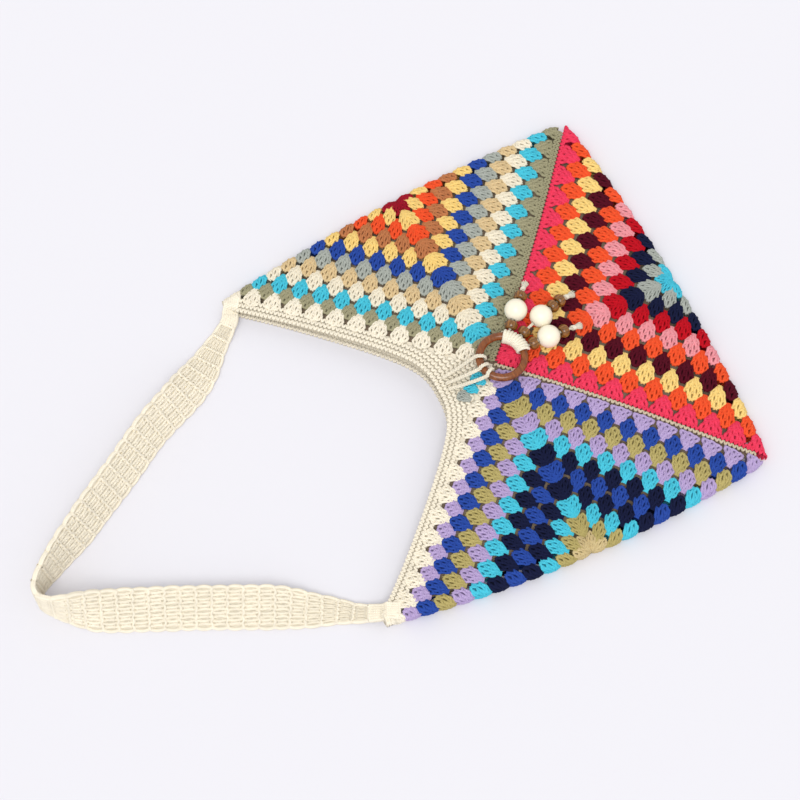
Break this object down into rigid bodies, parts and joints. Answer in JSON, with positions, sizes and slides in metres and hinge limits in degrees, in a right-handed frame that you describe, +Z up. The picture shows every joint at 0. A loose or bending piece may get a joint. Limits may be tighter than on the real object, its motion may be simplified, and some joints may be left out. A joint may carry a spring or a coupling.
{
  "type": "crocheted granny-square shoulder bag",
  "caption": "Flat shoulder bag crocheted from folded granny squares, with a V-shaped mouth, a strap, and a wooden ring with strands of beads.",
  "frame": {"origin": "on the table, under the middle of the outline of the bag and strap as they lie", "axes": "+Z up out of the bag's front, +Y along the bag from its bottom towards the strap, +X to the right seen from above"},
  "size_m": [0.3864, 0.6308, 0.0446],
  "materials": {
    "blue_yarn": "matt cotton yarn",
    "brown_bead": "glossy stained",
    "brown_yarn": "matt cotton yarn",
    "coral_yarn": "matt cotton yarn",
    "cream_bead": "satin painted",
    "cream_yarn": "matt cotton yarn",
    "cyan_yarn": "matt cotton yarn",
    "darkred_yarn": "matt cotton yarn",
    "grey_yarn": "matt cotton yarn",
    "khaki_yarn": "matt cotton yarn",
    "lavender_yarn": "matt cotton yarn",
    "maroon_yarn": "matt cotton yarn",
    "navy_yarn": "matt cotton yarn",
    "olive_yarn": "matt cotton yarn",
    "orange_yarn": "matt cotton yarn",
    "pink_yarn": "matt cotton yarn",
    "red_yarn": "matt cotton yarn",
    "ring_wood": "glossy lacquered",
    "sand_yarn": "matt cotton yarn",
    "tan_yarn": "matt cotton yarn",
    "taupe_cloth": "plain matt",
    "taupe_yarn": "matt cotton yarn",
    "white_yarn": "matt cotton yarn",
    "yellow_yarn": "matt cotton yarn"
  },
  "bodies": {
    "root": {"back_olive_seam": "olive_yarn", "back_taupe_seam": "taupe_yarn", "bead_cord_left": "white_yarn", "bead_cord_middle": "white_yarn", "bead_cord_right": "white_yarn", "brown_bead_left_1": "brown_bead", "brown_bead_left_3": "brown_bead", "brown_bead_middle_1": "brown_bead", "brown_bead_middle_3": "brown_bead", "brown_bead_middle_4": "brown_bead", "brown_bead_right_1": "brown_bead", "brown_bead_right_3": "brown_bead", "coral_square_round_01_cyan": "cyan_yarn", "coral_square_round_02_grey": "grey_yarn", "coral_square_round_03_navy": "navy_yarn", "coral_square_round_04_red": "red_yarn", "coral_square_round_05_pink": "pink_yarn", "coral_square_round_06_orange": "orange_yarn", "coral_square_round_07_maroon": "maroon_yarn", "coral_square_round_08_yellow": "yellow_yarn", "coral_square_round_09_orange": "orange_yarn", "coral_square_round_10_coral": "coral_yarn", "cream_bead_left_2": "cream_bead", "cream_bead_middle_2": "cream_bead", "cream_bead_right_2": "cream_bead", "front_olive_seam": "olive_yarn", "front_taupe_seam": "taupe_yarn", "lavender_square_round_01_sand": "sand_yarn", "lavender_square_round_02_khaki": "khaki_yarn", "lavender_square_round_03_cyan": "cyan_yarn", "lavender_square_round_04_navy": "navy_yarn", "lavender_square_round_05_blue": "blue_yarn", "lavender_square_round_06_navy": "navy_yarn", "lavender_square_round_07_cyan": "cyan_yarn", "lavender_square_round_08_lavender": "lavender_yarn", "lavender_square_round_09_khaki": "khaki_yarn", "lavender_square_round_10_blue": "blue_yarn", "lavender_square_round_11_lavender": "lavender_yarn", "lining_pouch": "taupe_cloth", "olive_square_round_01_darkred": "darkred_yarn", "olive_square_round_02_yellow": "yellow_yarn", "olive_square_round_03_orange": "orange_yarn", "olive_square_round_04_brown": "brown_yarn", "olive_square_round_05_yellow": "yellow_yarn", "olive_square_round_06_blue": "blue_yarn", "olive_square_round_07_grey": "grey_yarn", "olive_square_round_08_tan": "tan_yarn", "olive_square_round_09_cream": "cream_yarn", "olive_square_round_10_cyan": "cyan_yarn", "olive_square_round_11_olive": "olive_yarn", "opening_band": "cream_yarn", "ring_loop_left": "white_yarn", "ring_loop_middle": "white_yarn", "ring_loop_right": "white_yarn", "ring_wrap": "white_yarn", "shoulder_strap": "cream_yarn", "wooden_ring": "ring_wood"}
  },
  "joints": []
}
